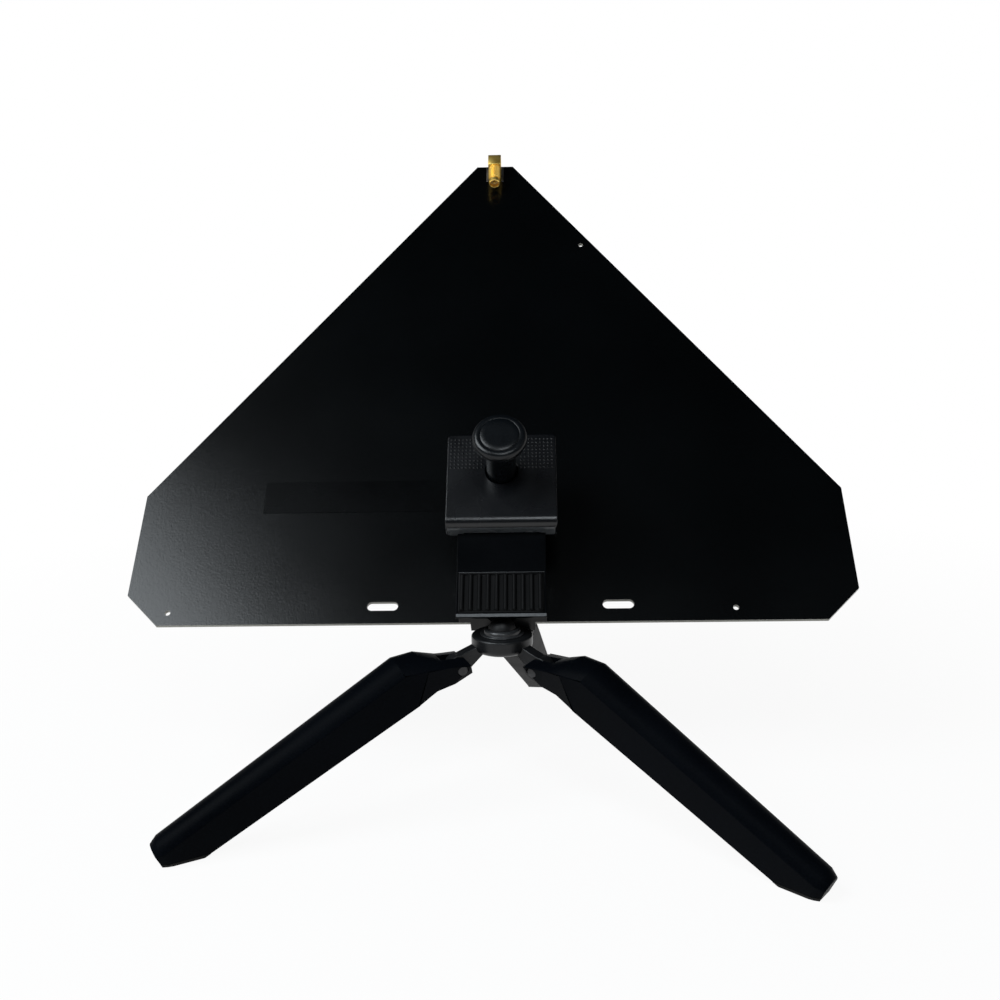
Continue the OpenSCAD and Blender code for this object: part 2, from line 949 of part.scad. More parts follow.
pcb_board();
board_label();
jack_body();
jack_insulator();
jack_contact();
solder_pads();
solder_joints();
clamp_body();
clamp_block();
rib_pad();
rear_pad();
block_screws();
screw_nut();
threaded_insert();
ball_stud();
flange_washer();
clamp_screw();
clamp_knob();
knob_cap();
pressure_foot();
foot_rubber();
ball_liner();
retaining_ring();
tripod_hub();
hinge_pins();
leg_rear();
leg_left();
leg_right();
sole_rear();
sole_left();
sole_right();
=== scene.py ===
import json
import math

import bpy
from mathutils import Matrix, Vector

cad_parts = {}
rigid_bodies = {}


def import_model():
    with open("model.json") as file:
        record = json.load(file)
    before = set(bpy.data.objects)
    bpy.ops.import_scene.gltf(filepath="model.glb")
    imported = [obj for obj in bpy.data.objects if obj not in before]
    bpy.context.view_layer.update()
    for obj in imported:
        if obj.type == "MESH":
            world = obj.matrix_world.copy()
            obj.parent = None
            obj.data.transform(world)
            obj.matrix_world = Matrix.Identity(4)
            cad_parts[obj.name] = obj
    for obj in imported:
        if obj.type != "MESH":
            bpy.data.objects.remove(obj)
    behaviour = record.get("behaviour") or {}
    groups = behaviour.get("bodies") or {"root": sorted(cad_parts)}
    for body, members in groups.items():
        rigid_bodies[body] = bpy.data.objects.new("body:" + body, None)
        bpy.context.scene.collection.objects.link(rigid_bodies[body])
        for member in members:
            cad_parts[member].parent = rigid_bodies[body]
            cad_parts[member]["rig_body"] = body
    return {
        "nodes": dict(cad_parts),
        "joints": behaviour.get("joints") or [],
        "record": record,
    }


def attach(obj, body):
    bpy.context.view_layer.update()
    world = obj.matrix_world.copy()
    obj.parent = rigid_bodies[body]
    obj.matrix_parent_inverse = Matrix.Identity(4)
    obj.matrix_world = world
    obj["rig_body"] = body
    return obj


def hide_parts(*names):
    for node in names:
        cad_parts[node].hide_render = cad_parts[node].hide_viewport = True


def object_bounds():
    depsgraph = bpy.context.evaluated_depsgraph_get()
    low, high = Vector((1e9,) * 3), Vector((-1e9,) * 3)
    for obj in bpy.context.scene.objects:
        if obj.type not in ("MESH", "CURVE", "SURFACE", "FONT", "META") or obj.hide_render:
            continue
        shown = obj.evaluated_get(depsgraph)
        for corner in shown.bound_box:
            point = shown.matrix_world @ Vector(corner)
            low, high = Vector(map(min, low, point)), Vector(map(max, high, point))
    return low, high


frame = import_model()
cad_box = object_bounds()


# Antenna board: a 1.6 mm glass-epoxy sheet with a satin black mask on both faces. It is routed to
# shape, so its edges show the lighter bare laminate, and nothing but the clamp holds it.
MM = 0.001
joints = {joint["name"]: joint for joint in frame["joints"]}
out_front = Vector(joints["foot_slide"]["axis"])


def new_material(name):
    material = bpy.data.materials.new(name)
    material.use_nodes = True
    tree = material.node_tree
    return material, tree.nodes, tree.links, tree.nodes["Principled BSDF"]


def grain_group():
    """Fine grain and slow clouds over a surface: a mottle, the clouds alone, and a relief."""
    group = bpy.data.node_groups.new("surface_grain", "ShaderNodeTree")
    sockets = group.interface
    for name in ("Grain per metre", "Clouds per metre"):
        sockets.new_socket(name, in_out="INPUT", socket_type="NodeSocketFloat")
    for name in ("Mottle", "Clouds", "Relief"):
        sockets.new_socket(name, in_out="OUTPUT", socket_type="NodeSocketFloat")
    nodes, links = group.nodes, group.links
    grain_share, cloud_share = 0.55, 0.45
    inlet = nodes.new("NodeGroupInput")
    outlet = nodes.new("NodeGroupOutput")
    place = nodes.new("ShaderNodeTexCoord")
    grain = nodes.new("ShaderNodeTexNoise")
    grain.inputs["Detail"].default_value = 4.0
    grain.inputs["Roughness"].default_value = 0.6
    clouds = nodes.new("ShaderNodeTexNoise")
    clouds.inputs["Detail"].default_value = 3.0
    mottle = nodes.new("ShaderNodeMath")
    mottle.operation = "MULTIPLY_ADD"
    mottle.inputs[1].default_value = grain_share
    slow = nodes.new("ShaderNodeMath")
    slow.operation = "MULTIPLY"
    slow.inputs[1].default_value = cloud_share
    links.new(place.outputs["Object"], grain.inputs["Vector"])
    links.new(place.outputs["Object"], clouds.inputs["Vector"])
    links.new(inlet.outputs["Grain per metre"], grain.inputs["Scale"])
    links.new(inlet.outputs["Clouds per metre"], clouds.inputs["Scale"])
    links.new(clouds.outputs["Fac"], slow.inputs[0])
    links.new(grain.outputs["Fac"], mottle.inputs[0])
    links.new(slow.outputs["Value"], mottle.inputs[2])
    links.new(mottle.outputs["Value"], outlet.inputs["Mottle"])
    links.new(clouds.outputs["Fac"], outlet.inputs["Clouds"])
    links.new(grain.outputs["Fac"], outlet.inputs["Relief"])
    return group


surface_grain = grain_group()


def grained(name, dark, light, gloss, grain, clouds, depth, specular=0.5, metallic=0.0):
    """A material whose colour, roughness and relief follow the surface grain."""
    material, nodes, links, shader = new_material(name)
    darkest, lightest = 0.34, 0.66
    cloud_low, cloud_high = 0.3, 0.7
    texture = nodes.new("ShaderNodeGroup")
    texture.node_tree = surface_grain
    texture.inputs["Grain per metre"].default_value = grain
    texture.inputs["Clouds per metre"].default_value = clouds
    tones = nodes.new("ShaderNodeValToRGB")
    tones.color_ramp.elements[0].position = darkest
    tones.color_ramp.elements[0].color = (*dark, 1)
    tones.color_ramp.elements[1].position = lightest
    tones.color_ramp.elements[1].color = (*light, 1)
    rough = nodes.new("ShaderNodeMapRange")
    rough.inputs["From Min"].default_value = cloud_low
    rough.inputs["From Max"].default_value = cloud_high
    rough.inputs["To Min"].default_value = gloss[0]
    rough.inputs["To Max"].default_value = gloss[1]
    bump = nodes.new("ShaderNodeBump")
    bump.inputs["Strength"].default_value = 1.0
    bump.inputs["Distance"].default_value = depth
    links.new(texture.outputs["Mottle"], tones.inputs["Fac"])
    links.new(texture.outputs["Clouds"], rough.inputs["Value"])
    links.new(texture.outputs["Relief"], bump.inputs["Height"])
    links.new(tones.outputs["Color"], shader.inputs["Base Color"])
    links.new(rough.outputs["Result"], shader.inputs["Roughness"])
    links.new(bump.outputs["Normal"], shader.inputs["Normal"])
    shader.inputs["Specular IOR Level"].default_value = specular
    shader.inputs["Metallic"].default_value = metallic
    return material


def face_tint_group():
    """A second colour, with fine flecks, on the faces that look less than a limit along a direction."""
    group = bpy.data.node_groups.new("face_tint", "ShaderNodeTree")
    sockets = group.interface
    for name, kind in (("Direction", "NodeSocketVector"), ("Limit", "NodeSocketFloat"),
                       ("Either way", "NodeSocketFloat"), ("Plain", "NodeSocketColor"),
                       ("Dark", "NodeSocketColor"), ("Light", "NodeSocketColor")):
        sockets.new_socket(name, in_out="INPUT", socket_type=kind)
    sockets.new_socket("Colour", in_out="OUTPUT", socket_type="NodeSocketColor")
    nodes, links = group.nodes, group.links
    flecks_per_metre = 900
    inlet = nodes.new("NodeGroupInput")
    outlet = nodes.new("NodeGroupOutput")
    place = nodes.new("ShaderNodeTexCoord")
    facing = nodes.new("ShaderNodeVectorMath")
    facing.operation = "DOT_PRODUCT"
    size = nodes.new("ShaderNodeMath")
    size.operation = "ABSOLUTE"
    along = nodes.new("ShaderNodeMix")
    along.data_type = "FLOAT"
    below = nodes.new("ShaderNodeMath")
    below.operation = "LESS_THAN"
    fleck = nodes.new("ShaderNodeTexNoise")
    fleck.inputs["Scale"].default_value = flecks_per_metre
    tones = nodes.new("ShaderNodeMix")
    tones.data_type = "RGBA"
    colour = nodes.new("ShaderNodeMix")
    colour.data_type = "RGBA"
    links.new(place.outputs["Normal"], facing.inputs[0])
    links.new(inlet.outputs["Direction"], facing.inputs[1])
    links.new(facing.outputs["Value"], size.inputs[0])
    links.new(inlet.outputs["Either way"], along.inputs["Factor"])
    links.new(facing.outputs["Value"], along.inputs["A"])
    links.new(size.outputs["Value"], along.inputs["B"])
    links.new(along.outputs["Result"], below.inputs[0])
    links.new(inlet.outputs["Limit"], below.inputs[1])
    links.new(place.outputs["Object"], fleck.inputs["Vector"])
    links.new(fleck.outputs["Fac"], tones.inputs["Factor"])
    links.new(inlet.outputs["Dark"], tones.inputs["A"])
    links.new(inlet.outputs["Light"], tones.inputs["B"])
    links.new(below.outputs["Value"], colour.inputs["Factor"])
    links.new(inlet.outputs["Plain"], colour.inputs["A"])
    links.new(tones.outputs["Result"], colour.inputs["B"])
    links.new(colour.outputs["Result"], outlet.inputs["Colour"])
    return group


face_tint = face_tint_group()


def tinted_faces(material, direction, limit, dark, light, either_way=False):
    """Gives another colour to the faces whose normal lies less than the limit along a direction."""
    nodes, links = material.node_tree.nodes, material.node_tree.links
    base_colour = nodes["Principled BSDF"].inputs["Base Color"]
    tint = nodes.new("ShaderNodeGroup")
    tint.node_tree = face_tint
    tint.inputs["Direction"].default_value = direction
    tint.inputs["Limit"].default_value = limit
    tint.inputs["Either way"].default_value = 1.0 if either_way else 0.0
    tint.inputs["Dark"].default_value = (*dark, 1)
    tint.inputs["Light"].default_value = (*light, 1)
    links.new(base_colour.links[0].from_socket, tint.inputs["Plain"])
    links.new(tint.outputs["Colour"], base_colour)


def keep(node, material):
    """A CAD piece whose shape is right keeps its mesh and gets a finished material."""
    mesh = frame["nodes"][node].data
    mesh.materials.clear()
    mesh.materials.append(material)


board_mask = grained("board_mask", dark=(0.0002, 0.0005, 0.0007), light=(0.0008, 0.0014, 0.0018),
                     gloss=(0.2, 0.235), grain=1100, clouds=14, depth=0.032 * MM, specular=0.3)
tinted_faces(board_mask, out_front, 0.5, dark=(0.2, 0.19, 0.16), light=(0.42, 0.4, 0.34), either_way=True)
keep("pcb_board", board_mask)


def only(piece):
    """Selects one piece alone and makes it the active one."""
    bpy.ops.object.select_all(action="DESELECT")
    piece.select_set(True)
    bpy.context.view_layer.objects.active = piece


def stand_in(piece, material, node):
    """Gives a piece its material and the body and place of the CAD piece it stands for."""
    piece.data.materials.clear()
    piece.data.materials.append(material)
    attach(piece, frame["nodes"][node]["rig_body"])
    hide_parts(node)


def eased(node, width, material, sharp=35, segments=2):
    """A copy of a CAD piece with its sharp edges eased by a small bevel, which then stands for it."""
    cad = frame["nodes"][node]
    piece = bpy.data.objects.new(node + "_eased", cad.data.copy())
    bpy.context.scene.collection.objects.link(piece)
    same_point = 0.002 * MM
    only(piece)
    bpy.ops.object.mode_set(mode="EDIT")
    bpy.ops.mesh.select_all(action="SELECT")
    bpy.ops.mesh.remove_doubles(threshold=same_point)
    bpy.ops.object.mode_set(mode="OBJECT")
    bpy.ops.object.shade_smooth_by_angle(angle=math.radians(sharp))
    if width:
        bevel = piece.modifiers.new("eased_edges", "BEVEL")
        bevel.width = width
        bevel.segments = segments
        bevel.limit_method = "ANGLE"
        bevel.angle_limit = math.radians(sharp)
        bevel.use_clamp_overlap = False
        bpy.ops.object.modifier_apply(modifier=bevel.name)
    flats = piece.modifiers.new("flat_faces", "WEIGHTED_NORMAL")
    flats.weight = 100
    flats.keep_sharp = True
    bpy.ops.object.modifier_apply(modifier=flats.name)
    stand_in(piece, material, node)
    return piece


label_film = grained("label_film", dark=(0.001, 0.0012, 0.0014), light=(0.0022, 0.0026, 0.003),
                     gloss=(0.24, 0.28), grain=700, clouds=30, depth=0.006 * MM, specular=0.1)
eased("board_label", 0.12 * MM, label_film)


# Coaxial jack: a gold-plated brass block soldered at the tip, with a threaded barrel that points
# down the board. The thread is cut, and the barrel's plain end has a turned chamfer.
ball_centre = Vector(joints["head_tilt"]["pos_m"])
across = Vector((1, 0, 0))
up_board = Vector(joints["clamp_twist"]["axis"])


def head_box(node):
    """Lowest and highest (across, up, out) of a CAD piece, measured from the ball's middle."""
    spots = [vertex.co - ball_centre for vertex in frame["nodes"][node].data.vertices]
    lows, highs = [], []
    for direction in (across, up_board, out_front):
        reach = [spot.dot(direction) for spot in spots]
        lows.append(min(reach))
        highs.append(max(reach))
    return Vector(lows), Vector(highs)


def turned(name, profile, sides=48):
    """A turned piece about Z: a disc drawn up through (radius, height) steps, one after the other."""
    bpy.ops.object.select_all(action="DESELECT")
    radius, height = profile[0]
    bpy.ops.mesh.primitive_circle_add(vertices=sides, radius=radius, fill_type="NGON",
                                      location=(0, 0, height))
    piece = bpy.context.object
    piece.name = name
    bpy.ops.object.transform_apply(location=True, rotation=True, scale=True)
    bpy.ops.object.mode_set(mode="EDIT")
    bpy.ops.mesh.select_all(action="SELECT")
    for wide, high in profile[1:]:
        bpy.ops.mesh.extrude_region_move(TRANSFORM_OT_translate={"value": (0, 0, high - height)})
        bpy.ops.transform.resize(value=(wide / radius, wide / radius, 1), center_override=(0, 0, high))
        radius, height = wide, high
    bpy.ops.mesh.select_all(action="SELECT")
    bpy.ops.mesh.normals_make_consistent(inside=False)
    bpy.ops.object.mode_set(mode="OBJECT")
    return piece


def threaded(name, radius, depth, pitch, turns, low):
    """A cut thread: one tooth's outline carried round and up its axis by the Screw modifier."""
    bpy.ops.object.select_all(action="DESELECT")
    bpy.ops.mesh.primitive_plane_add(size=pitch)
    piece = bpy.context.object
    piece.name = name
    root = radius - depth
    tooth = [Vector((reach, 0, low + share * pitch))
             for reach, share in ((root, 0.08), (radius, 0.42), (radius, 0.58), (root, 0.92))]
    bpy.ops.object.mode_set(mode="EDIT")
    bpy.ops.mesh.select_all(action="SELECT")
    bpy.ops.mesh.merge(type="CENTER")
    bpy.ops.transform.translate(value=tooth[0])
    for last, corner in zip(tooth, tooth[1:]):
        bpy.ops.mesh.extrude_region_move(TRANSFORM_OT_translate={"value": corner - last})
    bpy.ops.object.mode_set(mode="OBJECT")
    screw = piece.modifiers.new("thread", "SCREW")
    screw.axis = "Z"
    screw.screw_offset = pitch
    screw.iterations = turns
    screw.steps = 32
    screw.render_steps = 32
    screw.use_merge_vertices = True
    only(piece)
    bpy.ops.object.modifier_apply(modifier=screw.name)
    bpy.ops.object.mode_set(mode="EDIT")
    bpy.ops.mesh.select_all(action="SELECT")
    bpy.ops.mesh.normals_make_consistent(inside=False)
    bpy.ops.object.mode_set(mode="OBJECT")
    return piece


def own_copy(piece, name):
    """A copy of a piece, with its own mesh."""
    copy = bpy.data.objects.new(name, piece.data.copy())
    bpy.context.scene.collection.objects.link(copy)
    return copy


def set_in_place(piece, parts, matrix, sharp=32):
    """Joins the parts into a piece, moves its mesh to its place and leaves its object at the origin."""
    bpy.ops.object.select_all(action="DESELECT")
    for part in (piece, *parts):
        part.select_set(True)
    bpy.context.view_layer.objects.active = piece
    if parts:
        bpy.ops.object.join()
    piece.data.transform(matrix)
    piece.matrix_world = Matrix.Identity(4)
    only(piece)
    bpy.ops.object.shade_smooth_by_angle(angle=math.radians(sharp))


port = next(mount for mount in frame["record"]["mounts"] if mount["name"] == "antenna_port")
thread_r = port["dims"]["r_mm"] * MM
thread_len = port["dims"]["length_mm"] * MM
thread_pitch = 25.4 * MM / 36
thread_core_r = thread_r - 0.42 * MM
tooth_depth, first_tooth = 0.43 * MM, 0.3 * MM
barrel_root = Vector(port["pos_m"]) + up_board * thread_len / 2
jack_low, jack_high = head_box("jack_body")
board_front = head_box("pcb_board")[1].z
barrel_len = barrel_root.dot(up_board) - ball_centre.dot(up_board) - jack_low.y
axis_height = barrel_root.dot(out_front) - ball_centre.dot(out_front)
lead_r, groove_r, socket_r = 2.75 * MM, 2.62 * MM, 2.3 * MM
lead_len, groove_len, chamfer, socket_rim = 2.0 * MM, 0.8 * MM, 0.35 * MM, 0.1 * MM
barrel = turned("jack_eased", [
    (thread_core_r, 0), (thread_core_r, thread_len),
    (groove_r, thread_len), (groove_r, thread_len + groove_len),
    (lead_r, thread_len + groove_len), (lead_r, barrel_len - chamfer), (lead_r - chamfer, barrel_len),
    (socket_r + socket_rim, barrel_len), (socket_r, barrel_len - socket_rim),
    (socket_r, barrel_len - lead_len - socket_rim)])
turns = int(thread_len / thread_pitch) - 1
thread = threaded("jack_thread", thread_r, tooth_depth, thread_pitch, turns, first_tooth)

jack_block_size = Vector((jack_high.x - jack_low.x, jack_high.z - board_front,
                          jack_high.y - jack_low.y - barrel_len))
bpy.ops.object.select_all(action="DESELECT")
bpy.ops.mesh.primitive_cube_add(size=1)
jack_block = bpy.context.object
bpy.ops.transform.resize(value=jack_block_size)
bpy.ops.object.transform_apply(location=True, rotation=True, scale=True)
block_edges = jack_block.modifiers.new("block_edges", "BEVEL")
block_edges.width = 0.3 * MM
block_edges.segments = 2
bpy.ops.object.modifier_apply(modifier=block_edges.name)
jack_block_middle = (jack_high.z + board_front) / 2 - axis_height
jack_block.data.transform(Matrix.Translation((0, jack_block_middle, -jack_block_size.z / 2)))

leg_r, leg_tip_r, leg_tip, leg_length = 0.6 * MM, 0.4 * MM, 0.3 * MM, 3.2 * MM
leg_spread = 2.54 * MM
one_leg = turned("solder_leg", [(leg_tip_r, 0), (leg_r, leg_tip), (leg_r, leg_length)], 12)
solder_legs = []
for side in (-1, 1):
    for along in (-1, 1):
        leg = own_copy(one_leg, "solder_leg_copy")
        spot = (side * leg_spread, -axis_height + jack_low.z,
                -jack_block_size.z / 2 + along * leg_spread)
        leg.data.transform(Matrix.Translation(spot) @ Matrix.Rotation(math.radians(-90), 4, "X"))
        solder_legs.append(leg)
bpy.data.objects.remove(one_leg)

gold = grained("gold_plate", dark=(1.0, 0.62, 0.11), light=(1.0, 0.77, 0.24),
               gloss=(0.32, 0.46), grain=700, clouds=160, depth=0.02 * MM, metallic=1.0)
barrel_frame = Matrix((across, out_front, -up_board)).transposed().to_4x4()
set_in_place(barrel, [thread, jack_block, *solder_legs], Matrix.Translation(barrel_root) @ barrel_frame)
stand_in(barrel, gold, "jack_body")
eased("jack_contact", 0, gold)
insulator = grained("amber_insulator", dark=(0.42, 0.27, 0.1), light=(0.56, 0.38, 0.16),
                    gloss=(0.36, 0.46), grain=600, clouds=60, depth=0.005 * MM)
eased("jack_insulator", 0.08 * MM, insulator)


# Solder: the tinned strips beside the jack and the cones of solder on its legs behind the board.
# It has frozen dull, with slow ripples.
tin = grained("dull_tin", dark=(0.12, 0.12, 0.13), light=(0.24, 0.24, 0.25),
              gloss=(0.34, 0.5), grain=700, clouds=160, depth=0.05 * MM, metallic=1.0)
eased("solder_pads", 0.04 * MM, tin)
eased("solder_joints", 0.15 * MM, tin)


# Clamp body: one moulding of satin black plastic. Its front wall and lip stand before the board, its
# floor carries the board's edge, and its arm reaches up behind the board. The lip's chamfer is painted
# paler: painted light from the pale floor it faces.
clamp_black = grained("clamp_plastic", dark=(0.0006, 0.0009, 0.0013), light=(0.0018, 0.0023, 0.003),
                      gloss=(0.26, 0.34), grain=1500, clouds=40, depth=0.012 * MM, specular=0.04)
away_from_lip = (up_board - out_front).normalized()
# Painted light: the faces that look down and forward, mostly the lip's chamfer, get a pale grey that
# stands for the floor's light on them.
tinted_faces(clamp_black, away_from_lip, -0.95, dark=(0.1, 0.105, 0.11), light=(0.2, 0.206, 0.212))
eased("clamp_body", 0.25 * MM, clamp_black)


# Upper block: a moulded cover screwed on the wall's tongue, with a round lower edge. Its underside is
# painted paler, as painted light from the pale floor below. Two patches of small domes beside the knob
# give the fingers a grip.
block_black = grained("block_plastic", dark=(0.0012, 0.0016, 0.0024), light=(0.003, 0.0036, 0.005),
                      gloss=(0.24, 0.3), grain=1300, clouds=40, depth=0.045 * MM, specular=0.45)
# Painted light: the faces that look down along the board, the block's underside, get a pale grey that
# stands for the floor's light on them.
tinted_faces(block_black, up_board, -0.93, dark=(0.045, 0.048, 0.05), light=(0.08, 0.084, 0.088))
eased("clamp_block", 0.5 * MM, block_black, segments=3)


def in_head(side, up, out):
    """A point of the leaning head, given across, up and out from the ball's middle."""
    return ball_centre + across * side + up_board * up + out_front * out


block_high = head_box("clamp_block")[1]
dome_r, dome_h, dome_root = 0.5 * MM, 0.38 * MM, 0.1 * MM
column_pitch, row_pitch = 1.58 * MM, 1.75 * MM
columns, rows = 9, 9
patch_outer, patch_below_top = 20.6 * MM, 2.6 * MM
patch_inner = patch_outer - (columns - 1) * column_pitch
patch_top = block_high.y - patch_below_top
domes = turned("grip_domes", [(dome_r, -dome_root), (dome_r * 0.96, dome_h * 0.3),
                              (dome_r * 0.72, dome_h * 0.75), (dome_r * 0.3, dome_h)], 8)
for count, step in ((columns, (column_pitch, 0, 0)), (rows, (0, -row_pitch, 0))):
    row = domes.modifiers.new("row", "ARRAY")
    row.count = count
    row.use_relative_offset = False
    row.use_constant_offset = True
    row.constant_offset_displace = step
    only(domes)
    bpy.ops.object.modifier_apply(modifier=row.name)
left_patch = own_copy(domes, "grip_domes_left")
domes.data.transform(Matrix.Translation((patch_inner, 0, 0)))
left_patch.data.transform(Matrix.Translation((-patch_outer, 0, 0)))
face_frame = Matrix((across, up_board, out_front)).transposed().to_4x4()
set_in_place(domes, [left_patch], Matrix.Translation(in_head(0, patch_top, block_high.z)) @ face_frame)
domes.data.materials.append(block_black)
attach(domes, "head")


# Rubber: the ribbed pad let into the front wall, the pad on the arm behind the board, the washer
# under the clamp and the face of the pressure foot. All are moulded and matte.
rubber = grained("black_rubber", dark=(0.001, 0.0011, 0.0013), light=(0.003, 0.0032, 0.0035),
                 gloss=(0.46, 0.6), grain=1300, clouds=60, depth=0.02 * MM, specular=0.09)
eased("rib_pad", 0, rubber)
eased("rear_pad", 0.2 * MM, rubber)
eased("flange_washer", 0.1 * MM, rubber)
eased("foot_rubber", 0.25 * MM, rubber)


# Steel and brass hardware: the two screws that fix the block, the captive nut, the hinge pins and
# the knurled insert that takes the stud. The insert is pressed in a hair below the clamp's face.
steel = grained("bright_steel", dark=(0.42, 0.43, 0.44), light=(0.6, 0.61, 0.62),
                gloss=(0.22, 0.36), grain=400, clouds=50, depth=0.006 * MM, metallic=1.0)
blackened_steel = grained("blackened_steel", dark=(0.012, 0.012, 0.013), light=(0.022, 0.022, 0.024),
                          gloss=(0.34, 0.46), grain=500, clouds=60, depth=0.006 * MM)
brass = grained("plain_brass", dark=(0.42, 0.3, 0.1), light=(0.58, 0.43, 0.17),
                gloss=(0.28, 0.44), grain=500, clouds=60, depth=0.008 * MM, metallic=1.0)
eased("block_screws", 0.12 * MM, steel)
eased("screw_nut", 0.12 * MM, steel)
eased("hinge_pins", 0.12 * MM, blackened_steel)
insert = eased("threaded_insert", 0.1 * MM, brass)
insert_set = 0.05 * MM
insert.data.transform(Matrix.Translation(up_board * insert_set))


# Clamp screw: a steel M6 screw moulded into the knob. It runs through the nut, and its end turns in
# the pressure foot behind the wall.
screw_low, screw_high = head_box("clamp_screw")
screw_axis_up = (screw_low.y + screw_high.y) / 2
screw_r = (screw_high.x - screw_low.x) / 2
screw_len = screw_high.z - screw_low.z
point_r, plain_r, core_r = screw_r - 0.5 * MM, screw_r - 0.2 * MM, screw_r - 0.6 * MM
point_len, plain_end, run_out = 0.4 * MM, 3.0 * MM, 0.2 * MM
screw_pitch, screw_tooth = 1.0 * MM, 0.61 * MM
core = turned("clamp_screw_eased", [
    (point_r, 0), (plain_r, point_len), (plain_r, plain_end),
    (core_r, plain_end + run_out), (core_r, screw_len)])
screw_turns = int((screw_len - plain_end) / screw_pitch) - 1
screw_thread = threaded("screw_thread", screw_r, screw_tooth, screw_pitch, screw_turns, plain_end)
screw_end = in_head(0, screw_axis_up, screw_low.z)
set_in_place(core, [screw_thread], Matrix.Translation(screw_end) @ face_frame)
stand_in(core, steel, "clamp_screw")


# Knob: a black moulding with a round rim, a shank that enters the block, and a cap pressed into the
# shallow dish of its face. The pressure foot on the screw's end is moulded as the clamp is.
knob_black = grained("knob_plastic", dark=(0.0012, 0.002, 0.003), light=(0.003, 0.0042, 0.0056),
                     gloss=(0.24, 0.32), grain=900, clouds=70, depth=0.012 * MM, specular=0.3)
eased("clamp_knob", 0.2 * MM, knob_black)
cap_low, cap_high = head_box("knob_cap")
cap_r = (cap_high.x - cap_low.x) / 2
cap_t = cap_high.z - cap_low.z
cap = turned("knob_cap_eased", [
    (cap_r, 0), (cap_r, 0.72 * cap_t), (cap_r - 0.1 * MM, 0.85 * cap_t),
    (cap_r - 0.4 * MM, 0.98 * cap_t), (0.7 * cap_r, cap_t)])
cap_seat = in_head(0, (cap_low.y + cap_high.y) / 2, cap_low.z)
set_in_place(cap, [], Matrix.Translation(cap_seat) @ face_frame)
stand_in(cap, knob_black, "knob_cap")
eased("pressure_foot", 0.3 * MM, clamp_black)


# Ball head: a black-coated steel ball with its neck, flange and stud sits in a white liner, and a
# dark ring screwed into the hub holds it down.
ball_coating = grained("ball_coating", dark=(0.003, 0.003, 0.0034), light=(0.006, 0.006, 0.0068),
                       gloss=(0.4, 0.52), grain=800, clouds=80, depth=0.005 * MM, specular=0.3)
white_liner = grained("white_liner", dark=(0.66, 0.66, 0.64), light=(0.78, 0.78, 0.76),
                      gloss=(0.34, 0.46), grain=700, clouds=60, depth=0.006 * MM)
dark_ring = grained("dark_ring", dark=(0.016, 0.017, 0.018), light=(0.028, 0.029, 0.031),
                    gloss=(0.24, 0.34), grain=700, clouds=80, depth=0.006 * MM)
eased("ball_stud", 0.2 * MM, ball_coating)
eased("ball_liner", 0.15 * MM, white_liner)
eased("retaining_ring", 0.2 * MM, dark_ring)


# Hub: a smooth black moulding bored for the liner, with a rounded lower edge and three lugs that
# carry the hinge pins of the legs.
hub_black = grained("hub_plastic", dark=(0.005, 0.0054, 0.006), light=(0.009, 0.0096, 0.0106),
                    gloss=(0.3, 0.4), grain=900, clouds=60, depth=0.01 * MM, specular=0.3)
eased("tripod_hub", 0.25 * MM, hub_black)


# Legs: black mouldings with a spark-grained skin, an arched top and a crease along each side. Each
# forks round a lug of the hub, and a rubber sole is glued under its toe.
leg_black = grained("leg_plastic", dark=(0.0008, 0.0013, 0.0021), light=(0.0024, 0.0032, 0.0048),
                    gloss=(0.4, 0.5), grain=1400, clouds=30, depth=0.03 * MM, specular=0.015)
for name in ("rear", "left", "right"):
    eased("leg_" + name, 0.3 * MM, leg_black, sharp=24)
    eased("sole_" + name, 0, rubber)


# Floor: a wide pale table that takes the object's soft shadow. To the camera, and in metal and glass,
# it is lifted to the white of the backdrop, and a little less so round the object.
floor_gap, floor_size = 0.2 * MM, 12
shade_from, shade_to, least_lift = 0.1, 0.55, 0.93
bpy.ops.object.select_all(action="DESELECT")
bpy.ops.mesh.primitive_plane_add(size=floor_size, location=(0, 0, cad_box[0].z - floor_gap))
floor = bpy.context.object
floor.name = "floor"
pale, nodes, links, shader = new_material("pale_floor")
shader.inputs["Base Color"].default_value = (0.9, 0.9, 0.9, 1)
shader.inputs["Roughness"].default_value = 0.8
shader.inputs["Specular IOR Level"].default_value = 0.1
glow = nodes.new("ShaderNodeEmission")
rays = nodes.new("ShaderNodeLightPath")
mirrored = nodes.new("ShaderNodeMath")
mirrored.operation = "MAXIMUM"
seen = nodes.new("ShaderNodeMath")
seen.operation = "MAXIMUM"
place = nodes.new("ShaderNodeTexCoord")
reach = nodes.new("ShaderNodeVectorMath")
reach.operation = "LENGTH"
fade = nodes.new("ShaderNodeMapRange")
fade.inputs["From Min"].default_value = shade_from
fade.inputs["From Max"].default_value = shade_to
fade.inputs["To Min"].default_value = least_lift
fade.inputs["To Max"].default_value = 1.0
lift = nodes.new("ShaderNodeMath")
lift.operation = "MULTIPLY"
lifted = nodes.new("ShaderNodeMixShader")
links.new(rays.outputs["Is Glossy Ray"], mirrored.inputs[0])
links.new(rays.outputs["Is Transmission Ray"], mirrored.inputs[1])
links.new(rays.outputs["Is Camera Ray"], seen.inputs[0])
links.new(mirrored.outputs["Value"], seen.inputs[1])
links.new(place.outputs["Object"], reach.inputs[0])
links.new(reach.outputs["Value"], fade.inputs["Value"])
links.new(seen.outputs["Value"], lift.inputs[0])
links.new(fade.outputs["Result"], lift.inputs[1])
links.new(lift.outputs["Value"], lifted.inputs["Fac"])
links.new(shader.outputs["BSDF"], lifted.inputs[1])
links.new(glow.outputs["Emission"], lifted.inputs[2])
links.new(lifted.outputs["Shader"], nodes["Material Output"].inputs["Surface"])
floor.data.materials.append(pale)


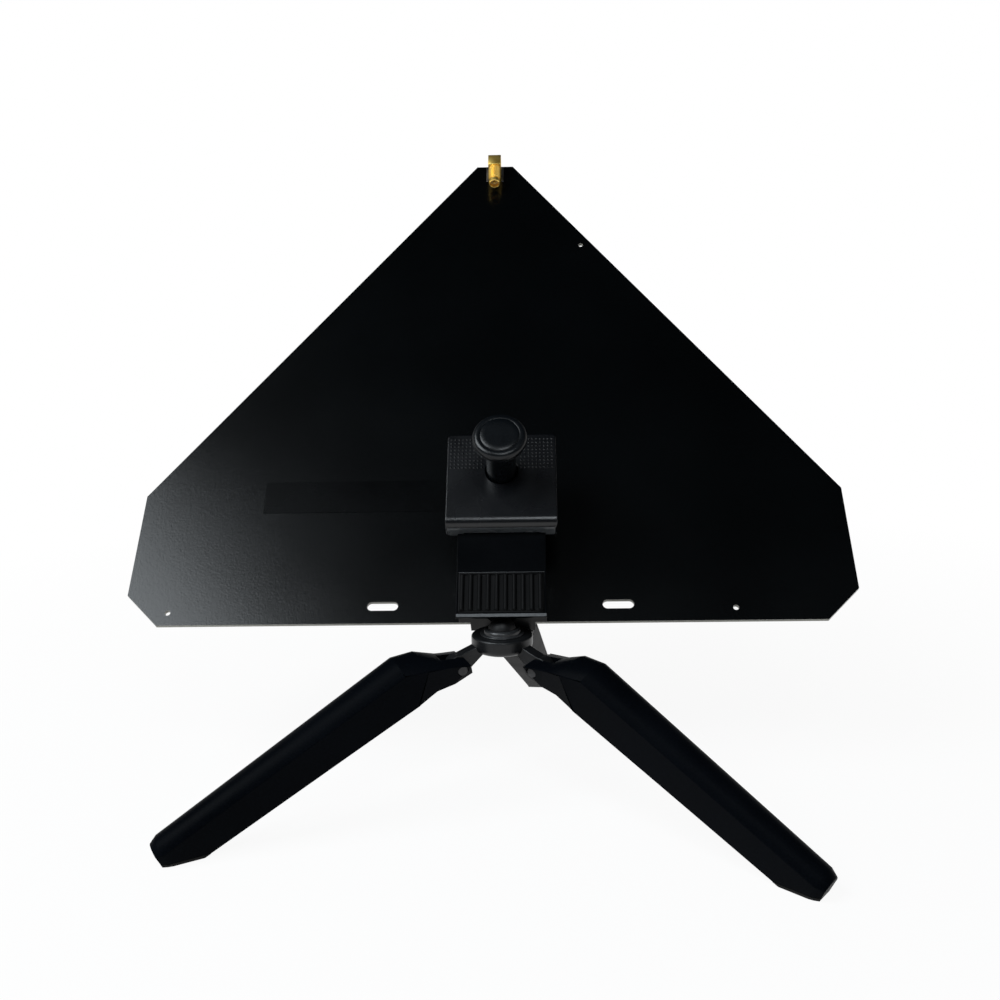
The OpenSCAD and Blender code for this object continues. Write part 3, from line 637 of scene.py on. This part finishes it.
# Studio: a white backdrop behind the object and a dark room before it and above it, with one softbox
# high on the left, a weak fill from the right and a small softbox high in front.
backdrop_top, ceiling_from = 0.05, 0.5
backdrop_side, backdrop_full = -0.4, 0.3
dark_room = 0.012
world = bpy.data.worlds.new("studio")
bpy.context.scene.world = world
world.use_nodes = True
nodes, links = world.node_tree.nodes, world.node_tree.links
background = nodes["Background"]
direction = nodes.new("ShaderNodeTexCoord")
parts = nodes.new("ShaderNodeSeparateXYZ")
ceiling = nodes.new("ShaderNodeMapRange")
ceiling.inputs["From Min"].default_value = backdrop_top
ceiling.inputs["From Max"].default_value = ceiling_from
ceiling.inputs["To Min"].default_value = 1.0
ceiling.inputs["To Max"].default_value = 0.0
behind = nodes.new("ShaderNodeMapRange")
behind.inputs["From Min"].default_value = backdrop_side
behind.inputs["From Max"].default_value = backdrop_full
backdrop = nodes.new("ShaderNodeMath")
backdrop.operation = "MULTIPLY"
room = nodes.new("ShaderNodeMath")
room.operation = "MAXIMUM"
room.inputs[1].default_value = dark_room
rays = nodes.new("ShaderNodeLightPath")
seen = nodes.new("ShaderNodeMath")
seen.operation = "MAXIMUM"
links.new(direction.outputs["Generated"], parts.inputs["Vector"])
links.new(parts.outputs["Z"], ceiling.inputs["Value"])
links.new(parts.outputs["Y"], behind.inputs["Value"])
links.new(ceiling.outputs["Result"], backdrop.inputs[0])
links.new(behind.outputs["Result"], backdrop.inputs[1])
links.new(backdrop.outputs["Value"], room.inputs[0])
links.new(room.outputs["Value"], seen.inputs[0])
links.new(rays.outputs["Is Camera Ray"], seen.inputs[1])
links.new(seen.outputs["Value"], background.inputs["Color"])


def softbox(name, place, aim, size, power):
    """A square lamp of cool daylight, turned towards what it lights."""
    light = bpy.data.lights.new(name, "AREA")
    light.shape = "SQUARE"
    light.size = size
    light.energy = power
    light.color = (0.89, 0.955, 1.0)
    lamp = bpy.data.objects.new(name, light)
    bpy.context.scene.collection.objects.link(lamp)
    lamp.location = place
    lamp.rotation_euler = (Vector(aim) - Vector(place)).to_track_quat("-Z", "Y").to_euler()


middle = (cad_box[0] + cad_box[1]) / 2
softbox("softbox_left", (-0.641, -0.373, 0.898), middle, size=0.65, power=10.5)
softbox("fill_right", (0.9, -0.5, 0.9), middle, size=0.8, power=0.4)
softbox("strip_front", (0.1, -0.72, 0.95), middle, size=0.3, power=3.0)


# Camera: stands before the knob, a little above it and to the right, and looks down on the board
# with a slight roll, as the photograph does.
camera = bpy.data.objects.new("camera", bpy.data.cameras.new("camera"))
bpy.context.scene.collection.objects.link(camera)
bpy.context.scene.camera = camera
camera.data.sensor_width = 36
camera.data.lens = 43.2
turn, dip, roll = math.radians(-1.82), math.radians(11.81), math.radians(1.12)
stand = Matrix.Translation((0.0144, -0.4462, 0.2133))
camera.matrix_world = (stand @ Matrix.Rotation(-turn, 4, "Z") @ Matrix.Rotation(math.pi / 2 - dip, 4, "X")
                       @ Matrix.Rotation(-roll, 4, "Z"))
bpy.context.scene.view_settings.view_transform = "Standard"
